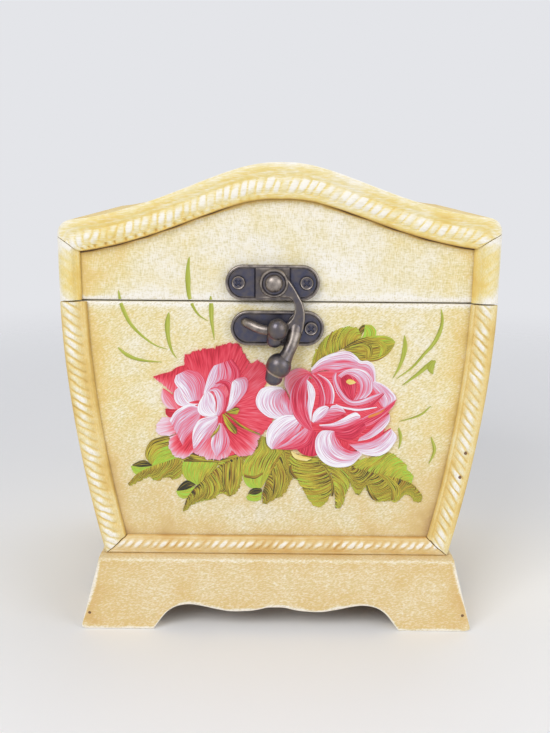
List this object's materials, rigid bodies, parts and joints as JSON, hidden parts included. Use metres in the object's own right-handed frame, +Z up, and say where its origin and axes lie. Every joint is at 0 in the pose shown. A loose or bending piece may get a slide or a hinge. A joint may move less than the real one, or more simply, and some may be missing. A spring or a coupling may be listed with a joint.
{
  "type": "trinket box",
  "caption": "Small painted wooden keepsake chest with flared sides, a bell-curved hinged lid, a scalloped plinth and a swing-arm hook latch.",
  "frame": {"origin": "on the floor under the middle of the whole object's bounding box", "axes": "+Z up; -Y towards the viewer of the latch; +X to that viewer's right"},
  "size_m": [0.1544, 0.123, 0.173],
  "materials": {
    "cream_paint": "cream-yellow paint brushed thin over wood, satin varnish",
    "rubbed_paint": "cream-yellow paint rubbed white on edges and carving",
    "bare_wood": "plain unpainted wood",
    "antique_bronze": "dark antique bronze plating, satin",
    "steel": "plain drawn steel"
  },
  "bodies": {
    "body": {"body_front_panel": "cream_paint", "body_back_panel": "cream_paint", "body_left_side": "cream_paint", "body_right_side": "cream_paint", "body_floor": "bare_wood", "body_moulding_left": "rubbed_paint", "body_moulding_right": "rubbed_paint", "body_moulding_bottom": "rubbed_paint", "moulding_brad_upper": "steel", "moulding_brad_lower": "steel", "base_top": "bare_wood", "base_front": "rubbed_paint", "base_back": "rubbed_paint", "base_left": "rubbed_paint", "base_right": "rubbed_paint", "base_brad_front_left": "steel", "base_brad_front_right": "steel", "base_brad_back_left": "steel", "base_brad_back_right": "steel", "latch_lower_plate": "antique_bronze", "latch_lower_screw": "antique_bronze", "latch_horn": "antique_bronze", "hinge_left_body_leaf": "antique_bronze", "hinge_left_body_leaf_screw_1": "antique_bronze", "hinge_left_body_leaf_screw_2": "antique_bronze", "hinge_left_pin": "steel", "hinge_right_body_leaf": "antique_bronze", "hinge_right_body_leaf_screw_1": "antique_bronze", "hinge_right_body_leaf_screw_2": "antique_bronze", "hinge_right_pin": "steel"},
    "lid": {"lid_front_panel": "cream_paint", "lid_back_panel": "cream_paint", "lid_left_end": "cream_paint", "lid_right_end": "cream_paint", "lid_roof": "cream_paint", "lid_moulding_top": "rubbed_paint", "lid_moulding_left": "rubbed_paint", "lid_moulding_right": "rubbed_paint", "latch_upper_plate": "antique_bronze", "latch_upper_screw_left": "antique_bronze", "latch_upper_screw_right": "antique_bronze", "latch_rivet": "antique_bronze", "hinge_left_lid_leaf": "antique_bronze", "hinge_left_lid_leaf_screw_1": "antique_bronze", "hinge_left_lid_leaf_screw_2": "antique_bronze", "hinge_right_lid_leaf": "antique_bronze", "hinge_right_lid_leaf_screw_1": "antique_bronze", "hinge_right_lid_leaf_screw_2": "antique_bronze"},
    "hook": {"latch_hook": "antique_bronze"}
  },
  "joints": [
    {"name": "lid_hinge", "type": "hinge", "parent": "body", "child": "lid", "pos_m": [0, 0.0596, 0.1246], "axis": [-1, 0, 0], "range_deg": [0, 170]},
    {"name": "hook_swing", "type": "hinge", "parent": "lid", "child": "hook", "pos_m": [-0.0018, -0.052, 0.1318], "axis": [0, -1, 0], "range_deg": [0, 115]}
  ]
}
